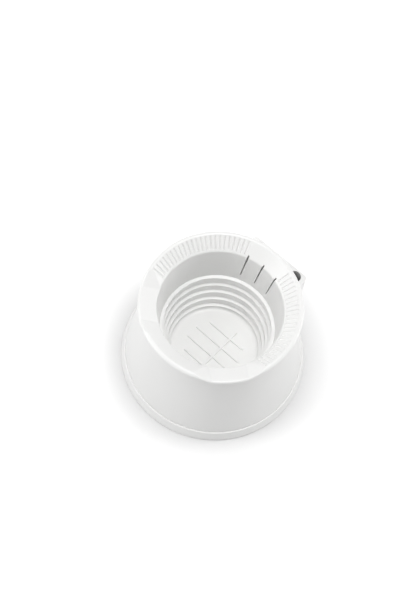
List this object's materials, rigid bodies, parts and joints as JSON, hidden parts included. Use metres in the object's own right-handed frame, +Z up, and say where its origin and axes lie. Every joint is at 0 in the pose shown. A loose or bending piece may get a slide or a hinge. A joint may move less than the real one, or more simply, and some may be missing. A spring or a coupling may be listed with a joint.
{
  "type": "brush washer",
  "caption": "Round pot for rinsing paint brushes: stepped cup that lifts out, fluted splash rim with brush rests, side brush rack and a lid stored under the foot.",
  "frame": {"origin": "on the table, under the washer's axis, at the centre of the foot", "axes": "+Z up along the washer's axis, +Y towards the brush holder block, +X to the right when the holder is at the back"},
  "size_m": [0.137, 0.137, 0.087],
  "materials": {
    "casing_plastic": "satin white moulded polypropylene",
    "cup_plastic": "semi-gloss white moulded polypropylene",
    "seal_rubber": "soft translucent white silicone"
  },
  "bodies": {
    "casing": {"outer_shell": "casing_plastic", "foot_ring": "casing_plastic", "brush_rack": "casing_plastic"},
    "cup": {"wash_cup": "cup_plastic"},
    "collar": {"splash_collar": "cup_plastic"},
    "storage_lid": {"lid": "casing_plastic", "lid_seal": "seal_rubber"}
  },
  "joints": [
    {"name": "cup_lift", "type": "slide", "parent": "casing", "child": "cup", "axis": [0, 0, 1], "range_m": [0, 0.09]},
    {"name": "collar_lift", "type": "slide", "parent": "cup", "child": "collar", "axis": [0, 0, 1], "range_m": [0, 0.04]},
    {"name": "lid_release", "type": "slide", "parent": "casing", "child": "storage_lid", "axis": [0, 0, -1], "range_m": [0, 0.02]}
  ]
}
